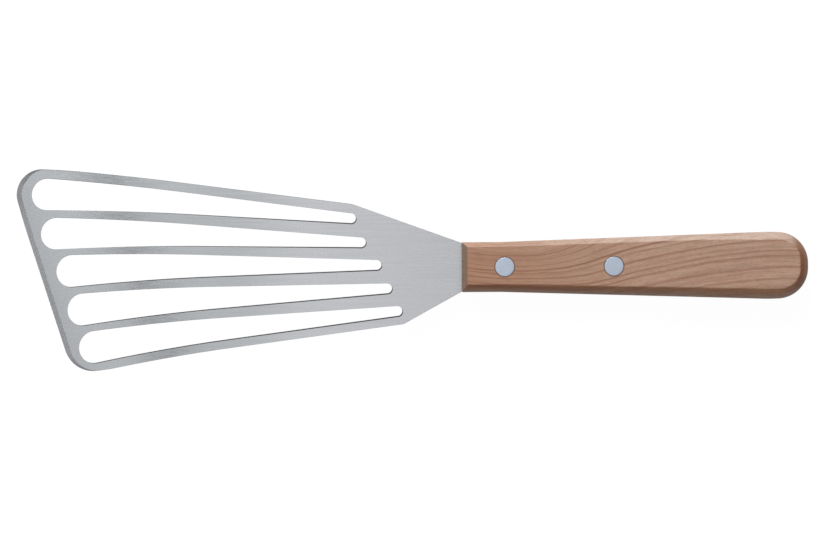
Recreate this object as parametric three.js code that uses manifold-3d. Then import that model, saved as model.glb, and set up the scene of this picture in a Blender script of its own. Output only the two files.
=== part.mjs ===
// Slotted turner: a skewed, flared sheet-steel blade whose front bends up to a ground edge, with a half tang
// let into a sawn slot in a bevelled hardwood handle and held there by two two-part cutlery rivets.
// Millimetres, +Z up, +X from the ground edge to the handle's end. The origin is under the middle of the whole.

import * as THREE from 'three';
import { mergeVertices } from 'three/addons/utils/BufferGeometryUtils.js';
import Module from 'manifold-3d';

const wasm = await Module();
wasm.setup();

// Blade sheet and its ground front edge
const bladeThickness = 0.8;
const frontEdgeSkew = THREE.MathUtils.degToRad(17.75);
const frontWeb = 6.0;
const groundWidth = 2.2;
const groundEdgeThickness = 0.3;
const farFrontCornerRadius = 9.7;
const farCornerEase = 24.3;
const farCornerInset = 1.1;
const farEaseRadius = 370.0;
const nearFrontCornerRadius = 13.8;

// Drain slots: equal tapered slots laid out as a fan, with straight tines between them
const slotCount = 5;
const slotLength = 134.2;
const slotWideRadius = 6.4;
const slotNarrowRadius = 2.0;
const tineTipWidth = 2.85;
const tineRootWidth = 5.6;
const farOuterTineWidth = 3.85;
const nearOuterTineWidth = 3.8;
const fanOffset = 1.0;
const slotNudges = [0.65, 0.3, -0.25, 0.1, 0.45];
const slotAdvances = [-0.2, 1.35, 0.0, 0.6, 0.9];

// Neck between the slots and the handle, and the tang inside the handle
const neckLength = 33.1;
const farShoulderLead = 0.0;
const nearShoulderLead = 1.9;
const shoulderRadius = 2.0;
const tangTail = 10.0;
const tangCornerRadius = 5.0;
const flushInset = 0.15;

// Bend of the blade's front: an arc out of the sheet, and a slight sideways sweep of the tines
const bendLength = 64.0;
const bendRadius = 170.0;
const sweep = 3.05;

// Handle
const handleLength = 142.6;
const handleThickness = 18.0;
const frontHalfWidth = 10.3;
const straightLength = 16.0;
const swellHalfWidth = 13.85;
const swellSetback = 16.6;
const swellRadius = 60.0;
const tailHalfWidth = 13.4;
const endCornerRadius = 12.7;
const faceCornerRadius = 8.0;
const bevelDepth = 3.2;
const frontBevel = 2.1;
const endBevel = 4.5;
const farBevel = { front: 2.4, tail: 3.3 };
const nearBevel = { front: 3.1, tail: 4.2 };

// Rivets
const rivetSetback = 17.6;
const rivetSpacing = 44.8;
const rivetHeadRadius = 4.0;
const rivetHeadThickness = 1.6;
const rivetTubeRadius = 2.6;
const rivetPinRadius = 1.6;
const rivetBlindFloor = 1.5;

// Fits
const seatGap = 0.1;
const tangEndGap = 1.5;
const cutOverrun = 2.0;

// Smoothness of round stretches
const cornerSteps = 8;
const slotEndSteps = 10;
const bendSteps = 10;
const rivetSides = 32;
const sliceTolerance = 0.01;
const weldDistance = 0.02;

const bladeSteel = { color: 0xb9bdc0, roughness: 0.38, metalness: 1.0 };
const handleWood = { color: 0xa5826c, roughness: 0.6, metalness: 0.0 };
const rivetAluminium = { color: 0xb2bcc9, roughness: 0.35, metalness: 1.0 };

const tangLength = rivetSetback + rivetSpacing + tangTail;
const halfThickness = handleThickness / 2;

const vec2 = (x, y) => new THREE.Vector2(x, y);
const polar = (angle) => vec2(Math.cos(angle), Math.sin(angle));

/** Where the line through p along u meets the line through q along v. */
function meet(p, u, q, v) {
  const along = q.clone().sub(p).cross(v) / u.cross(v);
  return p.clone().addScaledVector(u, along);
}

/** A closed outline from corner points, each rounded by its own radius where it has one. */
function roundedOutline(corners) {
  const points = [];
  corners.forEach(({ at, radius = 0 }, i) => {
    const before = corners.at(i - 1).at;
    const after = corners[(i + 1) % corners.length].at;
    const inward = before.clone().sub(at).normalize();
    const onward = after.clone().sub(at).normalize();
    const half = Math.acos(inward.dot(onward)) / 2;
    if (radius === 0) {
      points.push(at.clone());
      return;
    }
    const middle = inward.clone().add(onward).normalize();
    const centre = at.clone().addScaledVector(middle, radius / Math.sin(half));
    const start = at.clone().addScaledVector(inward, radius / Math.tan(half)).sub(centre);
    const turn = (Math.PI - 2 * half) * Math.sign(onward.cross(inward));
    for (let k = 0; k <= cornerSteps; k += 1) {
      points.push(start.clone().rotateAround(vec2(0, 0), (turn * k) / cornerSteps).add(centre));
    }
  });
  return points;
}

/** Outward unit normal at each point of a counter-clockwise outline. */
function outwardNormals(points) {
  return points.map((unused, i) => {
    const d = points[(i + 1) % points.length].clone().sub(points.at(i - 1)).normalize();
    return vec2(d.y, -d.x);
  });
}

const lift = (points, height) => points.map((p, i) => new THREE.Vector3(p.x, p.y, height(i)));

/** Triangles of the band between two rings that have matching points. */
function bandTriangles(lower, upper) {
  return lower.flatMap((a, i) => {
    const next = (i + 1) % lower.length;
    return [[a, lower[next], upper[next]], [a, upper[next], upper[i]]];
  });
}

/** Triangles that close a ring and leave its holes open, facing up or down. */
function capTriangles(ring, holes, faceUp) {
  const points = [ring, ...holes].flat();
  return THREE.ShapeUtils.triangulateShape(ring, holes).map(([a, b, c]) => {
    const corners = [points[a], points[b], points[c]];
    return faceUp ? corners : corners.reverse();
  });
}

/** Cuts every triangle that crosses the upright plane where normal.dot(p) is reach. */
function sliceTriangles(triangles, normal, reach) {
  return triangles.flatMap((corners) => {
    const side = corners.map((p) => p.x * normal.x + p.y * normal.y - reach);
    const isOver = side.map((s) => s > -sliceTolerance);
    const isUnder = side.map((s) => s < sliceTolerance);
    if (isOver.every(Boolean) || isUnder.every(Boolean)) return [corners];
    const loops = { over: [], under: [] };
    corners.forEach((p, i) => {
      const j = (i + 1) % corners.length;
      if (isOver[i]) loops.over.push(p);
      if (isUnder[i]) loops.under.push(p);
      if (isOver[i] === isUnder[i] || isOver[j] === isUnder[j] || isOver[i] === isOver[j]) return;
      const [low, high] = side[i] < 0 ? [i, j] : [j, i];
      const share = side[low] / (side[low] - side[high]);
      const cut = corners[low].clone().lerp(corners[high], share);
      loops.over.push(cut);
      loops.under.push(cut);
    });
    return [loops.over, loops.under].flatMap((loop) =>
      loop.slice(2).map((p, k) => [loop[0], loop[k + 1], p]));
  });
}

/** One closed indexed geometry from a list of triangles, with corners that all but touch welded together. */
function closedGeometry(triangles) {
  const corners = [];
  const place = (p) => {
    const known = corners.findIndex((q) => q.distanceTo(p) < weldDistance);
    return known < 0 ? corners.push(p) - 1 : known;
  };
  const index = triangles
    .map((triangle) => triangle.map(place))
    .filter(([a, b, c]) => a !== b && b !== c && c !== a);
  return new THREE.BufferGeometry().setFromPoints(corners).setIndex(index.flat());
}

function toSolid(geometry) {
  const bare = geometry.clone();
  bare.deleteAttribute('normal');
  bare.deleteAttribute('uv');
  const merged = mergeVertices(bare);
  const vertProperties = new Float32Array(merged.attributes.position.array);
  const triVerts = new Uint32Array(merged.index.array);
  return new wasm.Manifold(new wasm.Mesh({ numProp: 3, vertProperties, triVerts }));
}

function fromSolid(solid) {
  const { vertProperties, triVerts } = solid.getMesh();
  const geometry = new THREE.BufferGeometry();
  geometry.setAttribute('position', new THREE.BufferAttribute(vertProperties, 3));
  geometry.setIndex(new THREE.BufferAttribute(triVerts, 1));
  return geometry;
}

function namedMesh(name, geometry, look) {
  geometry.computeVertexNormals();
  const mesh = new THREE.Mesh(geometry, new THREE.MeshStandardMaterial(look));
  mesh.name = name;
  return mesh;
}

/** Half the handle's width at a distance behind its front, up to the swell. */
function handleHalfWidth(x) {
  const swellX = handleLength - swellSetback;
  const share = THREE.MathUtils.clamp((x - straightLength) / (swellX - straightLength), 0, 1);
  return THREE.MathUtils.lerp(frontHalfWidth, swellHalfWidth, share);
}

/** The fan of slots: each slot's axis, pointing forward, and the centres of its two round ends. */
function layOutSlots() {
  const axisLength = slotLength - slotWideRadius - slotNarrowRadius;
  const rootPitch = 2 * slotNarrowRadius + tineRootWidth;
  const tipPitch = 2 * slotWideRadius + tineTipWidth;
  const step = (tipPitch - rootPitch) / axisLength;
  const middleRootX = -(neckLength + slotNarrowRadius);
  const apex = vec2(middleRootX + rootPitch / step, fanOffset);
  const middleTip = vec2(middleRootX - axisLength, fanOffset);
  const skewLine = polar(Math.PI / 2 + frontEdgeSkew);
  return Array.from({ length: slotCount }, (unused, i) => {
    const forward = polar(Math.PI - ((slotCount - 1) / 2 - i) * step);
    const across = vec2(-forward.y, forward.x);
    const start = apex.clone().addScaledVector(across, slotNudges[i] ?? 0);
    const tip = meet(start, forward, middleTip, skewLine).addScaledVector(forward, slotAdvances[i] ?? 0);
    const root = tip.clone().addScaledVector(forward, -axisLength);
    return { forward, tip, root };
  });
}

/** Direction of a slot's side, which leans out from its axis by the slot's taper. */
function slotSide(slot, sign) {
  const axisLength = slot.tip.distanceTo(slot.root);
  const lean = Math.asin((slotWideRadius - slotNarrowRadius) / axisLength);
  const along = slot.forward.clone().rotateAround(vec2(0, 0), sign * lean);
  const out = vec2(-along.y, along.x).multiplyScalar(sign);
  return { along, out, lean };
}

/** Clockwise outline of one slot: its wide front end, then its narrow root end. */
function slotOutline(slot) {
  const { lean } = slotSide(slot, 1);
  const heading = slot.forward.angle();
  const points = [];
  for (let k = 0; k <= slotEndSteps; k += 1) {
    const angle = heading + (Math.PI / 2 + lean) * (1 - (2 * k) / slotEndSteps);
    points.push(slot.tip.clone().addScaledVector(polar(angle), slotWideRadius));
  }
  for (let k = 0; k <= slotEndSteps; k += 1) {
    const angle = heading + Math.PI + (Math.PI / 2 - lean) * (1 - (2 * k) / slotEndSteps);
    points.push(slot.root.clone().addScaledVector(polar(angle), slotNarrowRadius));
  }
  return points;
}

/** Flat blade outline, counter-clockwise, with the line of its front edge. */
function bladeOutline(slots) {
  const frontLine = polar(Math.PI / 2 + frontEdgeSkew);
  const frontNormal = vec2(frontLine.y, -frontLine.x);
  const middle = slots[Math.floor(slotCount / 2)];
  const frontPoint = middle.tip.clone().addScaledVector(frontNormal, -(slotWideRadius + frontWeb));
  const edgeOf = (slot, sign, tineWidth, lead) => {
    const { along, out } = slotSide(slot, sign);
    const shoulder = slot.root.clone()
      .addScaledVector(out, slotNarrowRadius + tineWidth)
      .addScaledVector(along, -lead);
    return { shoulder, along, corner: meet(shoulder, along, frontPoint, frontLine) };
  };
  const far = edgeOf(slots[0], -1, farOuterTineWidth, farShoulderLead);
  const near = edgeOf(slots.at(-1), 1, nearOuterTineWidth, nearShoulderLead);
  const fromFarCorner = (onSide, onFront) => far.corner.clone()
    .addScaledVector(far.along, -onSide)
    .addScaledVector(frontLine, -onFront);
  const tangHalf = (x) => handleHalfWidth(x) - flushInset;
  const points = roundedOutline([
    { at: fromFarCorner(farCornerEase, 0), radius: farEaseRadius },
    { at: fromFarCorner(farCornerInset, farCornerInset), radius: farFrontCornerRadius },
    { at: fromFarCorner(0, farCornerEase), radius: farEaseRadius },
    { at: near.corner, radius: nearFrontCornerRadius },
    { at: near.shoulder, radius: shoulderRadius },
    { at: vec2(0, -tangHalf(0)) },
    { at: vec2(straightLength, -tangHalf(straightLength)) },
    { at: vec2(tangLength, -tangHalf(tangLength)), radius: tangCornerRadius },
    { at: vec2(tangLength, tangHalf(tangLength)), radius: tangCornerRadius },
    { at: vec2(straightLength, tangHalf(straightLength)) },
    { at: vec2(0, tangHalf(0)) },
    { at: far.shoulder, radius: shoulderRadius },
  ]);
  return { points, frontPoint, frontNormal };
}

const rivetPlaces = [rivetSetback, rivetSetback + rivetSpacing];

/** Clockwise hole in the tang for a rivet's tube. */
function tangHole(x) {
  const turn = (2 * Math.PI) / rivetSides;
  return Array.from({ length: rivetSides }, (unused, k) =>
    polar(-k * turn).multiplyScalar(rivetTubeRadius + seatGap).add(vec2(x, 0)));
}

/** Bends a point of the flat sheet: the sweep within the sheet, then the arc out of it. */
function bendPoint(point, frontPoint, frontNormal) {
  const reach = (point.x - frontPoint.x) * frontNormal.x + (point.y - frontPoint.y) * frontNormal.y;
  const arc = Math.max(0, bendLength - reach);
  const angle = arc / bendRadius;
  const radius = bendRadius - point.z;
  const shift = arc - radius * Math.sin(angle);
  return new THREE.Vector3(
    point.x + shift * frontNormal.x,
    point.y + shift * frontNormal.y - sweep * (arc / bendLength) ** 2,
    bendRadius - radius * Math.cos(angle),
  );
}

function makeBlade() {
  const slots = layOutSlots();
  const { points, frontPoint, frontNormal } = bladeOutline(slots);
  const holes = [...slots.map(slotOutline), ...rivetPlaces.map(tangHole)];
  const half = bladeThickness / 2;
  const normals = outwardNormals(points);
  const ground = normals.map((n) => {
    const turned = Math.acos(THREE.MathUtils.clamp(-n.dot(frontNormal), -1, 1));
    return THREE.MathUtils.clamp(1 - turned / (Math.PI / 2 - frontEdgeSkew), 0, 1);
  });
  const topPoints = points.map((p, i) => p.clone().addScaledVector(normals[i], -groundWidth * ground[i]));
  const bottom = lift(points, () => -half);
  const edge = lift(points, (i) => half - (bladeThickness - groundEdgeThickness) * ground[i]);
  const top = lift(topPoints, () => half);
  const holesBelow = holes.map((hole) => lift(hole, () => -half));
  const holesAbove = holes.map((hole) => lift(hole, () => half));
  let triangles = [
    ...capTriangles(bottom, holesBelow, false),
    ...capTriangles(top, holesAbove, true),
    ...bandTriangles(bottom, edge),
    ...bandTriangles(edge, top),
    ...holesBelow.flatMap((hole, i) => bandTriangles(hole, holesAbove[i])),
  ];
  const frontReach = frontPoint.dot(frontNormal);
  for (let k = 1; k <= bendSteps; k += 1) {
    triangles = sliceTriangles(triangles, frontNormal, frontReach + (bendLength * k) / bendSteps);
  }
  const bent = triangles.map((corners) => corners.map((p) => bendPoint(p, frontPoint, frontNormal)));
  return namedMesh('blade', closedGeometry(bent), bladeSteel);
}

/** One ring of the handle, drawn in by a share of its bevels. */
function handleRing(share, height) {
  const front = frontBevel * share;
  const end = handleLength - endBevel * share;
  const swellX = handleLength - swellSetback;
  const cornerRadius = THREE.MathUtils.lerp(endCornerRadius, faceCornerRadius, share);
  const side = (sign, bevel) => {
    const tailHalf = tailHalfWidth - bevel.tail * share;
    return [
      { at: vec2(front, sign * (frontHalfWidth - bevel.front * share)) },
      { at: vec2(straightLength, sign * (frontHalfWidth - bevel.front * share)) },
      { at: vec2(swellX, sign * (swellHalfWidth - bevel.tail * share)), radius: swellRadius },
      { at: vec2(end, sign * tailHalf), radius: Math.min(cornerRadius, tailHalf) },
    ];
  };
  return lift(roundedOutline([...side(-1, nearBevel), ...side(1, farBevel).reverse()]), () => height);
}

/** A round solid about Z from a profile of radius and height pairs. */
function lathe(profile) {
  const geometry = new THREE.LatheGeometry(profile.map(([r, z]) => vec2(r, z)), rivetSides);
  return geometry.rotateX(Math.PI / 2);
}

function makeHandle() {
  const shoulder = halfThickness - bevelDepth;
  const rings = [
    handleRing(1, -halfThickness),
    handleRing(0, -shoulder),
    handleRing(0, shoulder),
    handleRing(1, halfThickness),
  ];
  const triangles = [
    ...capTriangles(rings[0], [], false),
    ...rings.slice(1).flatMap((ring, i) => bandTriangles(rings[i], ring)),
    ...capTriangles(rings.at(-1), [], true),
  ];
  let wood = toSolid(closedGeometry(triangles));
  const slotDepth = tangLength + tangEndGap;
  const sawnSlot = new THREE.BoxGeometry(
    slotDepth + cutOverrun,
    2 * (swellHalfWidth + cutOverrun),
    bladeThickness + 2 * seatGap,
  ).translate((slotDepth - cutOverrun) / 2, 0, 0);
  wood = wood.subtract(toSolid(sawnSlot));
  const headSeat = halfThickness - rivetHeadThickness - seatGap;
  const above = halfThickness + cutOverrun;
  rivetPlaces.forEach((x) => {
    const bore = lathe([
      [0, -above],
      [rivetHeadRadius + seatGap, -above],
      [rivetHeadRadius + seatGap, -headSeat],
      [rivetTubeRadius + seatGap, -headSeat],
      [rivetTubeRadius + seatGap, headSeat],
      [rivetHeadRadius + seatGap, headSeat],
      [rivetHeadRadius + seatGap, above],
      [0, above],
    ]).translate(x, 0, 0);
    wood = wood.subtract(toSolid(bore));
  });
  return namedMesh('handle', fromSolid(wood), handleWood);
}

const underHead = halfThickness - rivetHeadThickness;
const boreFloor = -underHead + rivetBlindFloor;

/** Lower half of a rivet: a flush head with a blind tube standing on it. */
function makeRivetSocket(name, x) {
  const mesh = namedMesh(name, lathe([
    [0, -halfThickness],
    [rivetHeadRadius, -halfThickness],
    [rivetHeadRadius, -underHead],
    [rivetTubeRadius, -underHead],
    [rivetTubeRadius, underHead - seatGap],
    [rivetPinRadius + seatGap, underHead - seatGap],
    [rivetPinRadius + seatGap, boreFloor],
    [0, boreFloor],
  ]), rivetAluminium);
  mesh.position.x = x;
  return mesh;
}

/** Upper half of a rivet: a flush head with a pin that is driven into the tube. */
function makeRivetPin(name, x) {
  const mesh = namedMesh(name, lathe([
    [0, boreFloor + seatGap],
    [rivetPinRadius, boreFloor + seatGap],
    [rivetPinRadius, underHead],
    [rivetHeadRadius, underHead],
    [rivetHeadRadius, halfThickness],
    [0, halfThickness],
  ]), rivetAluminium);
  mesh.position.x = x;
  return mesh;
}

const turner = new THREE.Group();
turner.add(makeBlade(), makeHandle());
['front', 'rear'].forEach((place, i) => {
  turner.add(makeRivetSocket(`${place}_rivet_socket`, rivetPlaces[i]));
  turner.add(makeRivetPin(`${place}_rivet_pin`, rivetPlaces[i]));
});

const box = new THREE.Box3().setFromObject(turner);
const middle = box.getCenter(new THREE.Vector3());
turner.position.set(-middle.x, -middle.y, -box.min.z);

export default turner;
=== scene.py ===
"""Looks of a slotted turner: a brushed steel blade, a bevelled hardwood handle and two cutlery rivets.

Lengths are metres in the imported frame: +X from the ground front edge to the handle's end, +Z up.
"""

import logging
import math
from abc import ABC, abstractmethod
from dataclasses import dataclass
from enum import Enum
from typing import Any

import bmesh
import bpy
from mathutils import Color, Matrix, Vector
from mathutils.geometry import delaunay_2d_cdt


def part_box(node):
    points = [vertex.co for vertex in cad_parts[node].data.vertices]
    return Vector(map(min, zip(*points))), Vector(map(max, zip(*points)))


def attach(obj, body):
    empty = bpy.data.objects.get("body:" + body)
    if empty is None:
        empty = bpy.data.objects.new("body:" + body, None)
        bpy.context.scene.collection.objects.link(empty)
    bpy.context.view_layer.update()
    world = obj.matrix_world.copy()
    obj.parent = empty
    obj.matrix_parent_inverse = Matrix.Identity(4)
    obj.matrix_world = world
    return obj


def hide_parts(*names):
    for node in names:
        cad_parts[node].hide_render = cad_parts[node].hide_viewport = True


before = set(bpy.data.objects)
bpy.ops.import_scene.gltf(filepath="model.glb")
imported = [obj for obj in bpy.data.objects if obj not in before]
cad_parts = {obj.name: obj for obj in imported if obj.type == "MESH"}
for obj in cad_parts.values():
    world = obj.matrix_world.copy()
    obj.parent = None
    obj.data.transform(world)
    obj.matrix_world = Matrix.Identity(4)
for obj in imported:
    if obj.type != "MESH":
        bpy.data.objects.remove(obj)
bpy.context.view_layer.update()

# A loop and a profile are flat, and a ring lies in space
Pair = tuple[float, float]
Triple = tuple[float, float, float]
Colour = tuple[float, float, float, float]
Loop = list[Vector]
Ring = list[Vector]
Profile = list[Pair]
Mesh = bmesh.types.BMesh
Verts = list[bmesh.types.BMVert]
Piece = bpy.types.Object
Material = bpy.types.Material
Node = bpy.types.Node
Socket = bpy.types.NodeSocket

LOG = logging.getLogger("turner")
MM = 0.001
BODY = "root"
TOP_LEVEL = 255
SHARP_ANGLE = math.radians(40.0)
WELD_DISTANCE = 0.0001 * MM
TRIANGLES_INSIDE = 1
SHEET_THICKNESS = 0.8 * MM
FRONT_SKEW = math.radians(17.75)
METAL = 1.0
NOISE_SPAN = (0.3, 0.7)
NOISE_MIDDLE = 0.5
FLATTEN = (1.0, 1.0, 0.0)
MIX_INPUTS = (0, 6, 7)
MIX_OUTPUT = 2


class Rim(Enum):
    """The kinds of edge that the sheet has."""

    OUTLINE = "outline"
    SLOT = "slot"
    RIVET_HOLE = "rivet hole"


class BladeFace(Enum):
    """The blade's finishes, by the index of their material slot."""

    BRUSHED = 0
    CUT = 1
    GROUND = 2
    SHEARED = 3


class RivetHalf(Enum):
    """The two halves of a cutlery rivet."""

    SOCKET = "socket"
    PIN = "pin"


def srgb(red: int, green: int, blue: int) -> Colour:
    """Linear colour of an 8-bit display colour, with full alpha."""
    shown = Color([level / TOP_LEVEL for level in (red, green, blue)])
    return (*shown.from_srgb_to_scene_linear(), 1.0)


def polar(angle: float) -> Vector:
    """Flat unit vector at an angle from +X."""
    return Vector((math.cos(angle), math.sin(angle)))


def turned(vector: Vector, angle: float) -> Vector:
    """A flat vector turned counter-clockwise by an angle."""
    return Matrix.Rotation(angle, 2) @ vector


def meet(p: Vector, u: Vector, q: Vector, v: Vector) -> Vector:
    """Where the line through p along u meets the line through q along v."""
    return p + u * ((q - p).cross(v) / u.cross(v))


def clamp(value: float) -> float:
    """A value held between 0 and 1."""
    return max(0.0, min(1.0, value))


def lerp(low: float, high: float, share: float) -> float:
    """The value a share of the way from low to high."""
    return low + (high - low) * share


def about_one(spread: float) -> Pair:
    """The range that lies a spread either side of 1."""
    return (1.0 - spread, 1.0 + spread)


def quarter_turn(steps: int) -> list[float]:
    """Angles from nil to a right angle, in even steps."""
    return [math.pi / 2 * k / steps for k in range(steps + 1)]


def mirrored(profile: Profile) -> Profile:
    """A profile turned upside down, in the opposite order."""
    return [(across, -height) for across, height in reversed(profile)]


@dataclass(frozen=True)
class Corner:
    """A corner of a flat path, and the radius that rounds it."""

    at: Vector
    radius: float = 0.0


def round_corners(corners: list[Corner], steps: int) -> Loop:
    """A flat path through corners, each rounded by its own radius.

    Args:
        corners: the corners in order; an open path has no radius at its two ends.
        steps: straight steps in each rounded corner.

    Returns:
        The path's points.
    """
    points: Loop = []
    for i, corner in enumerate(corners):
        if corner.radius == 0.0:
            points.append(corner.at.copy())
            continue
        back = (corners[i - 1].at - corner.at).normalized()
        onward = (corners[(i + 1) % len(corners)].at - corner.at).normalized()
        half = back.angle(onward) / 2
        centre = corner.at + (back + onward).normalized() * (corner.radius / math.sin(half))
        start = corner.at + back * (corner.radius / math.tan(half)) - centre
        turn = math.copysign(math.pi - 2 * half, onward.cross(back))
        points += [centre + turned(start, turn * k / steps) for k in range(steps + 1)]
    return points


def outward_normals(loop: Loop) -> Loop:
    """Unit normals to the right of travel along a closed loop, which is out of the metal.

    Args:
        loop: an outline that runs counter-clockwise, or a hole that runs clockwise.

    Returns:
        One normal for each point.
    """
    normals: Loop = []
    for i in range(len(loop)):
        along = (loop[(i + 1) % len(loop)] - loop[i - 1]).normalized()
        normals.append(Vector((along.y, -along.x)))
    return normals


def add_ring(mesh: Mesh, ring: Ring) -> Verts:
    """Adds a ring's points to a mesh."""
    return [mesh.verts.new(point) for point in ring]


def join_rings(mesh: Mesh, first: Verts, second: Verts) -> list[bmesh.types.BMFace]:
    """Adds the band of faces between two rings that have matching points.

    Args:
        mesh: the mesh that holds the rings.
        first: one ring's vertices.
        second: the next ring's vertices.

    Returns:
        The band's faces, in the order of the rings' points.
    """
    count = len(first)
    return [
        mesh.faces.new((first[i], first[(i + 1) % count], second[(i + 1) % count], second[i]))
        for i in range(count)
    ]


def cap(mesh: Mesh, rings: tuple[Verts, ...]) -> None:
    """Adds the level face between an outline and the convex holes in it.

    Args:
        mesh: the mesh that holds the rings.
        rings: the outline's vertices, then those of each hole.
    """
    verts = [vert for ring in rings for vert in ring]
    owners = [number for number, ring in enumerate(rings) for _ in ring]
    edges: list[tuple[int, int]] = []
    for ring in rings:
        start = len(edges)
        edges += [(start + i, start + (i + 1) % len(ring)) for i in range(len(ring))]
    flat = [vert.co.xy for vert in verts]
    _, _, faces, sources, *_ = delaunay_2d_cdt(flat, edges, [], TRIANGLES_INSIDE, WELD_DISTANCE)
    for face in faces:
        corners = [sources[k][0] for k in face]
        inside_hole = owners[corners[0]] > 0 and len({owners[k] for k in corners}) == 1
        if not inside_hole:
            mesh.faces.new([verts[k] for k in corners])


def stack(rings: list[Ring]) -> Mesh:
    """A closed solid through a stack of rings that have matching points.

    Args:
        rings: the rings in order.

    Returns:
        The solid as a mesh under construction.
    """
    mesh = bmesh.new()
    levels = [add_ring(mesh, ring) for ring in rings]
    for first, second in zip(levels, levels[1:]):
        join_rings(mesh, first, second)
    mesh.faces.new(levels[0])
    mesh.faces.new(levels[-1])
    return mesh


def lathe(profile: Profile, sides: int, place: Vector) -> Mesh:
    """A closed round solid about an upright axis.

    Args:
        profile: radius and height pairs that start and end on the axis.
        sides: facets round the axis.
        place: the point where height is zero on the axis.

    Returns:
        The solid as a mesh under construction.
    """
    spokes = [polar(2 * math.pi * k / sides) for k in range(sides)]
    return stack([
        [place + Vector((*(spoke * radius), height)) for spoke in spokes]
        for radius, height in profile[1:-1]
    ])


def finished_object(name: str, mesh: Mesh) -> Piece:
    """Turns a mesh under construction into a smooth-shaded object of the scene.

    Args:
        name: the object's name.
        mesh: the mesh, which is freed.

    Returns:
        The new object.
    """
    bmesh.ops.recalc_face_normals(mesh, faces=mesh.faces)
    data = bpy.data.meshes.new(name)
    mesh.to_mesh(data)
    mesh.free()
    piece = bpy.data.objects.new(name, data)
    bpy.context.scene.collection.objects.link(piece)
    smooth(piece)
    return piece


def smooth(piece: Piece) -> None:
    """Shades a piece smooth, apart from its sharp edges."""
    piece.data.shade_smooth()
    piece.data.set_sharp_from_angle(angle=SHARP_ANGLE)


def carve(piece: Piece, cutters: list[Piece]) -> None:
    """Cuts solids out of a piece and deletes them.

    Args:
        piece: the piece that is cut.
        cutters: closed solids.
    """
    for cutter in cutters:
        cut = piece.modifiers.new(cutter.name, "BOOLEAN")
        cut.operation = "DIFFERENCE"
        cut.solver = "EXACT"
        cut.object = cutter
    evaluated = piece.evaluated_get(bpy.context.evaluated_depsgraph_get())
    carved = bpy.data.meshes.new_from_object(evaluated)
    carved.name = piece.name
    piece.modifiers.clear()
    whole = piece.data
    piece.data = carved
    bpy.data.meshes.remove(whole)
    for cutter in cutters:
        bpy.data.meshes.remove(cutter.data)
    smooth(piece)


def set_down(piece: Piece, slot: str, *nodes: str) -> None:
    """Ties a piece to the frame's body and hides the solids that it stands for.

    Args:
        piece: the piece, in place.
        slot: not used.
        nodes: the solids that it stands for.
    """
    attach(piece, BODY)
    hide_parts(*nodes)
    LOG.info("%s: %d faces", piece.name, len(piece.data.polygons))


@dataclass(frozen=True)
class Grain:
    """A noise stretched along the axes: its scale per millimetre, its detail and how rough that is."""

    scale: Triple
    detail: float = 2.0
    roughness: float = 0.5


class Graph:
    """A node tree with short calls to add and join its nodes."""

    def __init__(self, tree: bpy.types.NodeTree) -> None:
        """Empties the tree."""
        self.tree = tree
        tree.nodes.clear()

    def add(self, kind: str, inputs: dict[Any, Any] | None = None, **settings: Any) -> Node:
        """Adds a node.

        Args:
            kind: the node's type, without its common prefix.
            inputs: a value, or another node's output, for each socket's name or index.
            settings: the node's own options.

        Returns:
            The new node.
        """
        node = self.tree.nodes.new("ShaderNode" + kind)
        for name, value in settings.items():
            setattr(node, name, value)
        for key, value in (inputs or {}).items():
            if isinstance(value, Socket):
                self.tree.links.new(value, node.inputs[key])
            else:
                node.inputs[key].default_value = value
        return node

    def math(self, operation: str, *values: Any) -> Socket:
        """Result of a Math node on values or sockets."""
        return self.add("Math", dict(enumerate(values)), operation=operation).outputs[0]

    def parts(self, vector: Socket) -> list[Socket]:
        """A vector's three parts."""
        return list(self.add("SeparateXYZ", {0: vector}).outputs)

    def stretch(self, vector: Socket, scale: Triple | Socket) -> Socket:
        """A vector multiplied by a scale along each axis."""
        return self.add("VectorMath", {0: vector, 1: scale}, operation="MULTIPLY").outputs[0]

    def scale(self, vector: Socket, factor: float | Socket) -> Socket:
        """A vector or colour multiplied by one factor."""
        return self.add("VectorMath", {0: vector, "Scale": factor}, operation="SCALE").outputs[0]

    def noise(self, place: Socket, grain: Grain) -> Socket:
        """The noise of a grain.

        Args:
            place: the point, in millimetres.
            grain: the grain.

        Returns:
            A value from about 0 to 1.
        """
        inputs = {
            "Vector": self.stretch(place, grain.scale),
            "Scale": 1.0,
            "Detail": grain.detail,
            "Roughness": grain.roughness,
        }
        return self.add("TexNoise", inputs).outputs[0]

    def span(self, value: Socket, source: Pair, target: Any = (0.0, 1.0), smooth: bool = False) -> Socket:
        """A value carried from one range to another, and held inside it.

        Args:
            value: the value.
            source: its low and high ends.
            target: what those ends become, as values or sockets.
            smooth: whether it eases in and out.

        Returns:
            The carried value.
        """
        inputs = {
            "Value": value,
            "From Min": source[0],
            "From Max": source[1],
            "To Min": target[0],
            "To Max": target[1],
        }
        kind = "SMOOTHSTEP" if smooth else "LINEAR"
        return self.add("MapRange", inputs, interpolation_type=kind).outputs[0]

    def mix(self, share: Any, first: Any, second: Any) -> Socket:
        """A colour the given share of the way from one colour to another."""
        inputs = dict(zip(MIX_INPUTS, (share, first, second)))
        return self.add("Mix", inputs, data_type="RGBA").outputs[MIX_OUTPUT]

    def bump(self, height: Socket, relief: Pair) -> Socket:
        """A normal roughened by a height, with the strength and the depth of the relief."""
        inputs = {"Height": height, "Strength": relief[0], "Distance": relief[1]}
        return self.add("Bump", inputs).outputs[0]

    def place_mm(self) -> Socket:
        """The surface point in the frame, in millimetres."""
        return self.scale(self.add("TexCoord").outputs["Object"], 1 / MM)

    def facing(self) -> list[Socket]:
        """The three parts of the surface's normal in the frame."""
        return self.parts(self.add("TexCoord").outputs["Normal"])

    def surface(self, shader: Node) -> None:
        """Makes a shader the material's surface."""
        self.add("OutputMaterial", {"Surface": shader.outputs[0]})


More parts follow.
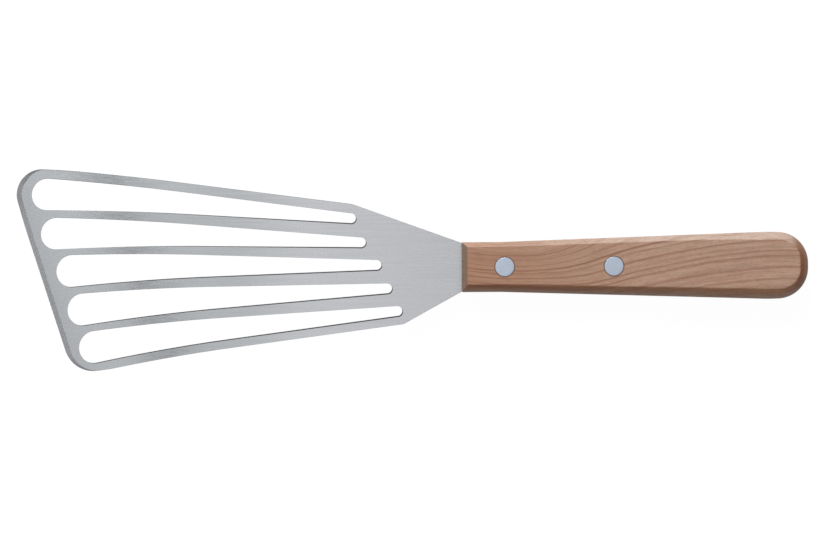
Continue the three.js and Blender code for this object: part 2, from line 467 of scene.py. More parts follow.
def new_graph(name: str) -> tuple[Material, Graph]:
    """Starts a material.

    Args:
        name: the material's name.

    Returns:
        The new material and its empty node tree.
    """
    material = bpy.data.materials.new(name)
    material.use_nodes = True
    return material, Graph(material.node_tree)


class Finish(ABC):
    """A finish of one of the tool's surfaces.

    Its places and lengths are millimetres, apart from the depth of a relief, which is metres.
    """

    @abstractmethod
    def shader(self, graph: Graph) -> Node:
        """Adds the finish's nodes to a material's tree and gives its shader."""

    def material(self, name: str) -> Material:
        """Makes the finish into a material.

        Args:
            name: the material's name.

        Returns:
            The material.
        """
        material, graph = new_graph(name)
        graph.surface(self.shader(graph))
        return material


@dataclass(frozen=True)
class BrushedSteel(Finish):
    """Stainless sheet brushed lengthwise, with painted shade that darkens it toward the front."""

    rear: Colour = srgb(221, 223, 227)
    front: Colour = srgb(204, 207, 211)
    fade: Pair = (-80.0, -38.0)
    contrast: float = 0.06
    roughness: Pair = (0.22, 0.29)
    lines: Grain = Grain((0.025, 1.7, 1.7), 4.0, 0.6)
    relief: Pair = (0.2, 0.002 * MM)

    def shader(self, graph: Graph) -> Node:
        """Builds the steel, streaked by the brushing.

        Args:
            graph: the material's tree.

        Returns:
            The shader.
        """
        place = graph.place_mm()
        lines = graph.noise(place, self.lines)
        lengthwise = graph.parts(place)[0]
        # Painted shade: the steel's tone darkens toward the front of the blade.
        tone = graph.mix(graph.span(lengthwise, self.fade, smooth=True), self.front, self.rear)
        return graph.add("BsdfPrincipled", {
            "Base Color": graph.scale(tone, graph.span(lines, NOISE_SPAN, about_one(self.contrast))),
            "Metallic": METAL,
            "Roughness": graph.span(lines, NOISE_SPAN, self.roughness),
            "Normal": graph.bump(lines, self.relief),
        })


@dataclass(frozen=True)
class DullSteel(Finish):
    """Steel without a polish, such as a cut wall or a ground edge.

    It may carry painted shade: darker on the far side of the blade, and where it turns to the far side.
    """

    dark: Colour
    pale: Colour
    far_painted_shade: float = 1.0
    far_fade: Pair = (18.0, 36.0)
    turned_painted_shade: float = 1.0
    turned_fade: Pair = (0.2, 0.34)
    metallic: float = 0.0
    roughness: float = 0.6
    specular: float = 0.3
    lines: Grain = Grain((5.0, 5.0, 0.4), 3.0)
    relief: Pair = (0.3, 0.003 * MM)

    def shader(self, graph: Graph) -> Node:
        """Builds the steel, with the lines of the cut and its painted shade.

        Args:
            graph: the material's tree.

        Returns:
            The shader.
        """
        place = graph.place_mm()
        lines = graph.noise(place, self.lines)
        tone = graph.mix(graph.span(lines, NOISE_SPAN), self.dark, self.pale)
        # Painted shade: darker toward the far side, and where the face turns to the far side.
        far = graph.span(graph.parts(place)[1], self.far_fade, (1.0, self.far_painted_shade), smooth=True)
        turned_painted_factor = graph.span(graph.facing()[1], self.turned_fade, (1.0, self.turned_painted_shade))
        return graph.add("BsdfPrincipled", {
            "Base Color": graph.scale(tone, graph.math("MULTIPLY", far, turned_painted_factor)),
            "Metallic": self.metallic,
            "Roughness": self.roughness,
            "Specular IOR Level": self.specular,
            "Normal": graph.bump(lines, self.relief),
        })


@dataclass(frozen=True)
class Streaks:
    """Darker streaks in the wood: their noise, the part of it that shows and how dark they get."""

    grain: Grain
    shown: Pair
    depth: float


@dataclass(frozen=True)
class HandleWood(Finish):
    """Close-grained hardwood whose growth rings drift across the handle.

    A ring's place is measured across the handle from its middle line, where the drift is nil. Each ring
    has a strength, and its late wood builds up slowly and stops sharply.
    """

    handle: "Handle"
    pale: Colour = srgb(184, 152, 131)
    warm: Colour = srgb(168, 125, 98)
    late: Colour = srgb(128, 78, 56)
    pale_reach: Pair = (0.05, 0.6)
    rear_paleness: float = 0.7
    cloud_paleness: float = 0.3
    cloud: Grain = Grain((0.04, 0.2, 0.2))
    flecks: Streaks = Streaks(Grain((0.6, 3.6, 3.6)), (0.52, 0.7), 0.35)
    pores: Streaks = Streaks(Grain((0.012, 0.75, 0.4), 3.0, 0.6), (0.5, 0.68), 0.3)
    fibre: Grain = Grain((0.16, 2.2, 2.2), 4.0, 0.65)
    fibre_contrast: float = 0.16
    end_grain: Colour = srgb(136, 85, 51)
    front_grain: Colour = srgb(123, 105, 92)
    end_turn: Pair = (0.3, 0.6)
    end_share: float = 0.85
    end_divide: Pair = (-0.1, 0.1)
    # Painted sheen: the bevels that turn to the far side, toward the lamps, are tinted paler and bluer,
    # more so toward the rear.
    front_painted_sheen: Colour = (0.96, 1.02, 1.12, 1.0)
    rear_painted_sheen: Colour = (1.0, 1.14, 1.27, 1.0)
    painted_sheen_reach: Pair = (0.05, 0.26)
    bevel_turn: Pair = (0.25, 0.6)
    bevel_rings: float = 0.4
    # Painted shade along the arris of the near bevels, which face away from the lamps.
    arris_shade_tint: Triple = (0.88, 0.70, 0.57)
    arris_reach: Pair = (0.5, 2.6)
    arris_start: float = 0.25
    arris_turn: Pair = (0.3, -0.3)
    # Painted shade round the rivet holes, where the gap round each head lies in shade.
    rivet_painted_shade: Colour = srgb(92, 58, 42)
    shade_ring_width: float = 0.5
    shade_ring_share: float = 0.8
    roughness: Pair = (0.28, 0.36)
    specular: float = 0.5
    relief: Pair = (0.35, 0.015 * MM)
    rings: tuple[Pair, ...] = (
        (-23.0, 0.5), (-18.3, 0.6), (-13.6, 0.52), (-11.4, 0.55), (-7.1, 0.6), (-3.7, 0.42),
        (-1.5, 0.7), (1.7, 0.38), (5.8, 0.45), (9.4, 0.38),
    )
    ring_reach: Pair = (-32.0, 12.0)
    ring_tilt: float = 0.2
    early_width: float = 1.0
    late_width: float = 0.4
    fan_middle: float = -1.8
    fan: Pair = (0.57, 1.0)
    fan_reach: Pair = (0.2, 0.46)
    waves: tuple[tuple[Grain, float], ...] = (
        (Grain((0.03, 0.1, 0.1)), 1.2),
        (Grain((0.16, 0.4, 0.4)), 0.5),
        (Grain((0.7, 1.2, 1.2)), 0.22),
    )
    drift_height: float = 17.7
    drift: tuple[Pair, ...] = (
        (0.0, 0.12), (0.08, 0.025), (0.175, 0.0), (0.26, 0.034), (0.338, 0.136), (0.408, 0.299),
        (0.48, 0.477), (0.582, 0.659), (0.686, 0.816), (0.79, 0.919), (0.875, 0.985), (1.0, 1.0),
    )

    @property
    def front(self) -> Vector:
        """The middle of the handle's front."""
        return self.handle.front / MM

    @property
    def half_thickness(self) -> float:
        """Half the handle's thickness."""
        return self.handle.thickness / (2 * MM)

    def drifted(self, graph: Graph, share: Socket) -> Socket:
        """How far the grain has climbed across the handle.

        Args:
            graph: the material's tree.
            share: the share of the handle's length from its front.

        Returns:
            The climb.
        """
        curve = graph.add("FloatCurve", {"Value": share})
        points = curve.mapping.curves[0].points
        points[0].location = self.drift[0]
        points[-1].location = self.drift[-1]
        for point in self.drift[1:-1]:
            points.new(*point)
        curve.mapping.update()
        return graph.math("MULTIPLY", curve.outputs[0], self.drift_height)

    def across_rings(self, graph: Graph, place: Socket, share: Socket) -> Socket:
        """The place across the rings, which drift, fan out, tilt and wave.

        Args:
            graph: the material's tree.
            place: the surface point.
            share: the share of the handle's length from its front.

        Returns:
            The place.
        """
        _, y, z = graph.parts(place)
        across = graph.math("SUBTRACT", y, self.drifted(graph, share))
        across = graph.math("SUBTRACT", across, self.front.y + self.fan_middle)
        across = graph.math("DIVIDE", across, graph.span(share, self.fan_reach, self.fan, smooth=True))
        across = graph.math("ADD", across, self.fan_middle)
        depth = graph.math("SUBTRACT", z, self.front.z + self.half_thickness)
        across = graph.math("MULTIPLY_ADD", depth, self.ring_tilt, across)
        for grain, height in self.waves:
            swing = graph.math("SUBTRACT", graph.noise(place, grain), NOISE_MIDDLE)
            across = graph.math("MULTIPLY_ADD", swing, height, across)
        return across

    def late_wood(self, graph: Graph, across: Socket) -> Socket:
        """The share of dark late wood.

        Args:
            graph: the material's tree.
            across: the place across the rings.

        Returns:
            A share from 0 to 1.
        """
        ramp = graph.add("ValToRGB", {0: graph.span(across, self.ring_reach)})
        stops = ramp.color_ramp.elements
        low, high = self.ring_reach
        free = low
        for place, strength in self.rings:
            begins = max(free, place - self.early_width)
            free = place + self.late_width
            for at, value in ((begins, 0.0), (place, strength), (free, 0.0)):
                stops.new((at - low) / (high - low)).color = (value, value, value, 1.0)
        stops[-1].color = stops[0].color
        return ramp.outputs[0]

    def face_tone(self, graph: Graph, grain: Socket, share: Socket, late: Socket) -> Socket:
        """The colour of the wood along the grain, paler toward the rear.

        Args:
            graph: the material's tree.
            grain: the point along and across the rings.
            share: the share of the handle's length from its front.
            late: the share of late wood.

        Returns:
            The colour.
        """
        rearward = graph.span(share, self.pale_reach, (0.0, self.rear_paleness))
        cloud = graph.span(graph.noise(grain, self.cloud), NOISE_SPAN, (0.0, self.cloud_paleness))
        tone = graph.mix(graph.math("ADD", rearward, cloud), self.warm, self.pale)
        for streaks in (self.flecks, self.pores):
            shown = graph.span(graph.noise(grain, streaks.grain), streaks.shown, (0.0, streaks.depth))
            tone = graph.mix(shown, tone, self.late)
        return graph.mix(late, tone, self.late)

    def painted_arris_shade(self, graph: Graph, z: Socket, sideways: Socket) -> Socket:
        """The share of painted shade on the bevels, strongest just off the flat faces and nil on the far
        side.

        Args:
            graph: the material's tree.
            z: the surface point's height.
            sideways: how far the surface turns to the far side.

        Returns:
            A share from 0 to 1.
        """
        level = graph.math("ABSOLUTE", graph.math("SUBTRACT", z, self.front.z))
        below = graph.math("SUBTRACT", self.half_thickness, level)
        starts = graph.span(below, (0.0, self.arris_start))
        arris_shade_share = graph.math("MULTIPLY", starts, graph.span(below, self.arris_reach, (1.0, 0.0)))
        return graph.math("MULTIPLY", arris_shade_share, graph.span(sideways, self.arris_turn))

    def painted_rivet_shade(self, graph: Graph, place: Socket) -> Socket:
        """The share of painted shade, close round the rivets.

        Args:
            graph: the material's tree.
            place: the surface point.

        Returns:
            A share from 0 to 1.
        """
        hole = (self.handle.head_radius + self.handle.seat_gap) / MM
        level = graph.stretch(place, FLATTEN)
        nearest: Any = hole + self.shade_ring_width
        for x in self.handle.rivet_places:
            middle = self.handle.on_axis(x) / MM
            inputs = {0: level, 1: (middle.x, middle.y, 0.0)}
            distance = graph.add("VectorMath", inputs, operation="DISTANCE").outputs["Value"]
            nearest = graph.math("MINIMUM", distance, nearest)
        return graph.span(nearest, (hole, hole + self.shade_ring_width), (self.shade_ring_share, 0.0), smooth=True)

    def shader(self, graph: Graph) -> Node:
        """Builds the wood: its face, bevels, cut ends, painted sheen on the far bevels and painted shade
        along the near arris and round the rivet holes.

        Args:
            graph: the material's tree.

        Returns:
            The shader.
        """
        place = graph.place_mm()
        x, _, z = graph.parts(place)
        endways, sideways, _ = graph.facing()
        share = graph.span(x, (self.front.x, self.front.x + self.handle.length / MM))
        across = self.across_rings(graph, place, share)
        faded = graph.span(graph.math("ABSOLUTE", sideways), self.bevel_turn, (1.0, self.bevel_rings))
        late = graph.math("MULTIPLY", self.late_wood(graph, across), faded)
        grain = graph.add("CombineXYZ", {0: x, 1: across, 2: z}).outputs[0]
        fibre = graph.noise(grain, self.fibre)
        tone = self.face_tone(graph, grain, share, late)
        tone = graph.scale(tone, graph.span(fibre, NOISE_SPAN, about_one(self.fibre_contrast)))
        # Painted sheen on the bevels that turn to the far side.
        painted_sheen_tint = graph.mix(graph.span(share, self.painted_sheen_reach), self.front_painted_sheen, self.rear_painted_sheen)
        tone = graph.mix(graph.span(sideways, self.bevel_turn), tone, graph.stretch(tone, painted_sheen_tint))
        either_end = graph.math("ABSOLUTE", endways)
        ends = graph.span(either_end, self.end_turn, (0.0, self.end_share), smooth=True)
        cut_wood = graph.mix(graph.span(endways, self.end_divide), self.front_grain, self.end_grain)
        tone = graph.mix(ends, tone, cut_wood)
        # Painted shade along the near arris.
        tone = graph.mix(self.painted_arris_shade(graph, z, sideways), tone, graph.stretch(tone, self.arris_shade_tint))
        # The base colour is darkened close round the rivets by painted shade.
        return graph.add("BsdfPrincipled", {
            "Base Color": graph.mix(self.painted_rivet_shade(graph, place), tone, self.rivet_painted_shade),
            "Roughness": graph.span(fibre, NOISE_SPAN, self.roughness),
            "Specular IOR Level": self.specular,
            "Normal": graph.bump(graph.math("ADD", fibre, late), self.relief),
        })


@dataclass(frozen=True)
class SatinAluminium(Finish):
    """Aluminium ground flush with the wood."""

    dull: Colour = srgb(203, 215, 232)
    pale: Colour = srgb(214, 225, 240)
    roughness: Pair = (0.3, 0.4)
    lines: Grain = Grain((0.6, 5.0, 0.6), 3.0)
    relief: Pair = (0.25, 0.004 * MM)

    def shader(self, graph: Graph) -> Node:
        """Builds the aluminium, with the lines of the grinding.

        Args:
            graph: the material's tree.

        Returns:
            The shader.
        """
        lines = graph.noise(graph.place_mm(), self.lines)
        return graph.add("BsdfPrincipled", {
            "Base Color": graph.mix(graph.span(lines, NOISE_SPAN), self.dull, self.pale),
            "Metallic": METAL,
            "Roughness": graph.span(lines, NOISE_SPAN, self.roughness),
            "Normal": graph.bump(lines, self.relief),
        })


@dataclass(frozen=True)
class Slot:
    """One drain slot of the flat sheet: its heading and the centres of its two round ends."""

    forward: Vector
    tip: Vector
    root: Vector


@dataclass
class Blade:
    """The steel sheet: its fan of slots, neck, tang, bent front and ground edge.

    Flat places are from the middle of the handle's front, on the sheet's middle plane. The ground edge's
    bevel has as many stops as the plain edge's upper round has points.
    """

    origin: Vector
    rivet_places: list[float]
    tang_half_widths: list[Pair]
    thickness: float = SHEET_THICKNESS
    front_web: float = 6.0 * MM
    ground_width: float = 1.9 * MM
    ground_edge_thickness: float = 0.3 * MM
    far_ground_turn: Pair = (math.radians(62.0), math.radians(118.0))
    near_ground_turn: Pair = (0.0, math.radians(74.0))
    far_front_corner_radius: float = 9.7 * MM
    far_corner_ease: float = 24.3 * MM
    far_corner_inset: float = 1.1 * MM
    far_ease_radius: float = 370.0 * MM
    near_front_corner_radius: float = 13.1 * MM
    near_corner_ease: float = 14.3 * MM
    near_corner_inset: float = 1.5 * MM
    near_ease_radius: float = 75.0 * MM
    slot_count: int = 5
    slot_length: float = 134.2 * MM
    slot_wide_radius: float = 6.4 * MM
    slot_narrow_radius: float = 2.0 * MM
    tine_tip_width: float = 2.85 * MM
    tine_root_width: float = 5.6 * MM
    far_outer_tine_width: float = 3.85 * MM
    near_outer_tine_width: float = 3.8 * MM
    fan_offset: float = 1.0 * MM
    slot_nudges: tuple[float, ...] = (0.65 * MM, 0.3 * MM, -0.25 * MM, 0.1 * MM, 0.45 * MM)
    slot_advances: tuple[float, ...] = (-0.2 * MM, 1.35 * MM, 0.0, 0.6 * MM, 0.9 * MM)
    neck_length: float = 33.1 * MM
    near_shoulder_lead: float = 1.9 * MM
    shoulder_radius: float = 2.0 * MM
    tang_corner_radius: float = 5.0 * MM
    rivet_hole_radius: float = 2.7 * MM
    bend_length: float = 64.0 * MM
    bend_radius: float = 170.0 * MM
    sweep: float = 3.05 * MM
    edge_radius: float = 0.05 * MM
    support: float = 0.05 * MM
    slice_tolerance: float = 0.005 * MM
    cut_slope: float = 0.56 * MM
    cut_facing: float = math.radians(117.0)
    cut_start: Pair = (3.0 * MM, 26.0 * MM)
    cut_far: float = 30.0 * MM
    cut_run: float = 12.0 * MM
    corner_steps: int = 24
    slot_end_steps: int = 32
    bend_steps: int = 48
    edge_steps: int = 3
    bevel_stops: tuple[float, ...] = (0.0, 0.03, 0.97, 1.0)

    def slots(self) -> list[Slot]:
        """Lays out the fan of slots.

        Returns:
            The slots, from the far side to the near side.
        """
        axis = self.slot_length - self.slot_wide_radius - self.slot_narrow_radius
        root_pitch = 2 * self.slot_narrow_radius + self.tine_root_width
        tip_pitch = 2 * self.slot_wide_radius + self.tine_tip_width
        step = (tip_pitch - root_pitch) / axis
        root_x = -(self.neck_length + self.slot_narrow_radius)
        apex = Vector((root_x + root_pitch / step, self.fan_offset))
        middle_tip = Vector((root_x - axis, self.fan_offset))
        fan: list[Slot] = []
        for i, (nudge, advance) in enumerate(zip(self.slot_nudges, self.slot_advances)):
            forward = polar(math.pi - ((self.slot_count - 1) / 2 - i) * step)
            start = apex + Vector((-forward.y, forward.x)) * nudge
            tip = meet(start, forward, middle_tip, self.front_line) + forward * advance
            fan.append(Slot(forward, tip, tip - forward * axis))
        return fan

    @property
    def front_line(self) -> Vector:
        """Direction of the front edge."""
        return polar(math.pi / 2 + FRONT_SKEW)

    @property
    def front_normal(self) -> Vector:
        """Direction from the front edge into the sheet."""
        return Vector((self.front_line.y, -self.front_line.x))

    @property
    def front_point(self) -> Vector:
        """A point of the front edge."""
        middle = self.slots()[self.slot_count // 2]
        return middle.tip - self.front_normal * (self.slot_wide_radius + self.front_web)

    def lean(self, slot: Slot) -> float:
        """Angle between a slot's side and its axis."""
        taper = self.slot_wide_radius - self.slot_narrow_radius
        return math.asin(taper / (slot.tip - slot.root).length)

    def slot_loop(self, slot: Slot) -> Loop:
        """Draws one slot.

        Args:
            slot: the slot.

        Returns:
            A clockwise loop: the wide end, then the narrow end.
        """
        heading = math.atan2(slot.forward.y, slot.forward.x)
        lean = self.lean(slot)
        ends = (
            (slot.tip, self.slot_wide_radius, heading, math.pi / 2 + lean),
            (slot.root, self.slot_narrow_radius, heading + math.pi, math.pi / 2 - lean),
        )
        return [
            centre + polar(middle + reach * (1 - 2 * k / self.slot_end_steps)) * radius
            for centre, radius, middle, reach in ends
            for k in range(self.slot_end_steps + 1)
        ]

    def side(self, slot: Slot, sign: int, tine_width: float, lead: float) -> tuple[Vector, Vector]:
        """Shoulder and front corner of one side of the blade.

        Args:
            slot: the outermost slot on that side.
            sign: -1 on the far side, 1 on the near side.
            tine_width: width of the tine outside the slot.
            lead: how far the shoulder lies behind the slot's end.

        Returns:
            The shoulder and the front corner.
        """
        along = turned(slot.forward, sign * self.lean(slot))
        out = Vector((-along.y, along.x)) * sign
        shoulder = slot.root + out * (self.slot_narrow_radius + tine_width) - along * lead
        return shoulder, meet(shoulder, along, self.front_point, self.front_line)

    def outline(self) -> Loop:
        """Draws the flat sheet.

        Returns:
            A counter-clockwise loop.
        """
        fan = self.slots()
        far_shoulder, far_corner = self.side(fan[0], -1, self.far_outer_tine_width, 0.0)
        far_back = (far_shoulder - far_corner).normalized()
        far_drawn_in = far_corner + (far_back - self.front_line) * self.far_corner_inset
        near_shoulder, near_corner = self.side(
            fan[-1], 1, self.near_outer_tine_width, self.near_shoulder_lead)
        near_back = (near_shoulder - near_corner).normalized()
        near_drawn_in = near_corner + self.front_line * self.near_corner_inset
        tang_end = self.tang_half_widths[-1][0]
        near_tang = [
            Corner(Vector((x, -half)), self.tang_corner_radius if x == tang_end else 0.0)
            for x, half in self.tang_half_widths
        ]
        far_tang = [
            Corner(Vector((corner.at.x, -corner.at.y)), corner.radius)
            for corner in reversed(near_tang)
        ]
        return round_corners([
            Corner(far_corner + far_back * self.far_corner_ease, self.far_ease_radius),
            Corner(far_drawn_in, self.far_front_corner_radius),
            Corner(far_corner - self.front_line * self.far_corner_ease, self.far_ease_radius),
            Corner(near_drawn_in, self.near_front_corner_radius),
            Corner(near_corner + near_back * self.near_corner_ease, self.near_ease_radius),
            Corner(near_shoulder, self.shoulder_radius),
            *near_tang,
            *far_tang,
            Corner(far_shoulder, self.shoulder_radius),
        ], self.corner_steps)

    def rivet_hole(self, x: float) -> Loop:
        """Draws a rivet's hole in the tang.

        Args:
            x: its distance behind the handle's front.

        Returns:
            A clockwise loop.
        """
        turns = 2 * self.slot_end_steps
        centre = Vector((x, 0.0))
        return [centre + polar(-2 * math.pi * k / turns) * self.rivet_hole_radius for k in range(turns)]

    def ground_share(self, normal: Vector) -> float:
        """How fully the edge is ground.

        Args:
            normal: the direction out of the metal.

        Returns:
            A share from 0 to 1.
        """
        ahead = -self.front_normal
        full, none = self.far_ground_turn if ahead.cross(normal) < 0.0 else self.near_ground_turn
        return clamp((none - ahead.angle(normal)) / (none - full))

    def rim_profile(self) -> list[tuple[Vector, Vector]]:
        """Inset and height pairs over a rim from the top face to the underside.

        Returns:
            For each ring, the pair on a plain edge and the pair on the ground edge.
        """
        half = self.thickness / 2
        radius = self.edge_radius
        drop = self.thickness - self.ground_edge_thickness
        top_in = Vector((self.support, 0.0))
        quarter = quarter_turn(self.edge_steps)
        plain = [Vector((radius * (1 - math.sin(a)), half - radius * (1 - math.cos(a)))) for a in quarter]
        ground = [Vector((self.ground_width * (1 - s), half - drop * s)) for s in self.bevel_stops]
        under = [Vector((radius * (1 - math.cos(a)), radius * (1 - math.sin(a)) - half)) for a in quarter]
        plain = [plain[0] + top_in, *plain, *under, under[-1] + top_in]
        ground = [ground[0] + top_in, *ground, *under, under[-1] + top_in]
        return list(zip(plain, ground))

    def wall_slope(self, point: Vector, normal: Vector) -> float:
        """How far a slot's upper edge lies behind its lower edge.

        Args:
            point: a point of the slot's loop.
            normal: the direction out of the metal there.

        Returns:
            The setback, which fades out toward the slot's wide end, earlier in the far slots.
        """
        reach = (point - self.front_point).dot(self.front_normal)
        start = lerp(*self.cut_start, clamp(point.y / self.cut_far))
        fade = clamp((reach - start) / self.cut_run)
        return self.cut_slope * fade * max(0.0, normal.dot(polar(self.cut_facing)))

    def rim_rings(self, loop: Loop, rim: Rim, ground: list[float]) -> list[Ring]:
        """Rings of one rim, from the top face over the edge to the underside.

        Args:
            loop: the flat loop.
            rim: what the loop bounds.
            ground: how fully each point's edge is ground.

        Returns:
            The rings, on the flat sheet.
        """
        normals = outward_normals(loop)
        slopes = [self.wall_slope(p, n) if rim is Rim.SLOT else 0.0 for p, n in zip(loop, normals)]
        rings: list[Ring] = []
        for plain, sharp in self.rim_profile():
            ring: Ring = []
            for point, normal, share, slope in zip(loop, normals, ground, slopes):
                inset, height = plain.lerp(sharp, share)
                inset += slope * (height / self.thickness + 1 / 2)
                ring.append(Vector((*(point - normal * inset), height)))
            rings.append(ring)
        return rings

    def add_rim(self, mesh: Mesh, loop: Loop, rim: Rim) -> tuple[Verts, Verts]:
        """Adds one rim's bands to the sheet and marks their finish.

        Args:
            mesh: the sheet.
            loop: the flat loop.
            rim: what the loop bounds.

        Returns:
            The vertices round the top face and round the underside.
        """
        outline = rim is Rim.OUTLINE
        ground = [self.ground_share(n) if outline else 0.0 for n in outward_normals(loop)]
        rings = [add_ring(mesh, ring) for ring in self.rim_rings(loop, rim, ground)]
        wall = self.edge_steps + 1
        for step, (upper, lower) in enumerate(zip(rings, rings[1:])):
            for i, face in enumerate(join_rings(mesh, upper, lower)):
                if rim is Rim.SLOT and 0 < step <= wall:
                    face.material_index = BladeFace.CUT.value
                elif 0 < step < wall and ground[i] > 0.0:
                    face.material_index = BladeFace.GROUND.value
                elif 0 < step <= wall:
                    face.material_index = BladeFace.SHEARED.value
        return rings[0], rings[-1]

    def slice_front(self, mesh: Mesh) -> None:
        """Slices the sheet across its bend, so that it can follow the arc.

        Args:
            mesh: the flat sheet.
        """
        normal = self.front_normal.to_3d()
        start = self.front_point.to_3d()
        for k in range(1, self.bend_steps + 1):
            bmesh.ops.bisect_plane(
                mesh,
                geom=[*mesh.verts, *mesh.edges, *mesh.faces],
                dist=self.slice_tolerance,
                plane_co=start + normal * (self.bend_length * k / self.bend_steps),
                plane_no=normal,
            )

    def bent(self, point: Vector, front_point: Vector, front_normal: Vector) -> Vector:
        """A point of the flat sheet after the sweep within the sheet and the arc out of it.

        Args:
            point: the flat point.
            front_point: a point of the front edge.
            front_normal: direction from the front edge into the sheet.

        Returns:
            The point in the frame.
        """
        arc = max(0.0, self.bend_length - (point.xy - front_point).dot(front_normal))
        angle = arc / self.bend_radius
        radius = self.bend_radius - point.z
        flat = point.xy + front_normal * (arc - radius * math.sin(angle))
        flat.y -= self.sweep * (arc / self.bend_length) ** 2
        return self.origin + Vector((*flat, self.bend_radius - radius * math.cos(angle)))

    def build(self) -> Piece:
        """Builds the blade.

        Returns:
            One closed sheet.
        """
        mesh = bmesh.new()
        rims = [(self.outline(), Rim.OUTLINE)]
        rims += [(self.slot_loop(slot), Rim.SLOT) for slot in self.slots()]
        rims += [(self.rivet_hole(x), Rim.RIVET_HOLE) for x in self.rivet_places]
        bounds = [self.add_rim(mesh, loop, rim) for loop, rim in rims]
        for rings in zip(*bounds):
            cap(mesh, rings)
        self.slice_front(mesh)
        front_point, front_normal = self.front_point, self.front_normal
        for vert in mesh.verts:
            vert.co = self.bent(vert.co, front_point, front_normal)
        return finished_object("turner_blade", mesh)

    def dress(self, piece: Piece) -> None:
        """Gives the blade's faces their finishes.

        Args:
            piece: the blade.
        """
        cut = DullSteel(dark=srgb(40, 40, 40), pale=srgb(60, 60, 61))
        # Painted shade darkens the ground edge on the far side, and where it turns to the far side.
        ground = DullSteel(
            dark=srgb(138, 140, 143),
            pale=srgb(150, 152, 155),
            far_painted_shade=0.72,
            turned_painted_shade=0.5,
            lines=Grain((2.4, 0.4, 0.4), 3.0),
        )
        sheared = DullSteel(dark=srgb(150, 152, 155), pale=srgb(172, 174, 177), metallic=0.3)
        finishes: dict[BladeFace, tuple[str, Finish]] = {
            BladeFace.BRUSHED: ("brushed_blade_steel", BrushedSteel()),
            BladeFace.CUT: ("cut_slot_steel", cut),
            BladeFace.GROUND: ("ground_edge_steel", ground),
            BladeFace.SHEARED: ("sheared_edge_steel", sheared),
        }
        for face in BladeFace:
            name, finish = finishes[face]
            piece.data.materials.append(finish.material(name))
        set_down(piece, "blade_steel", "blade")


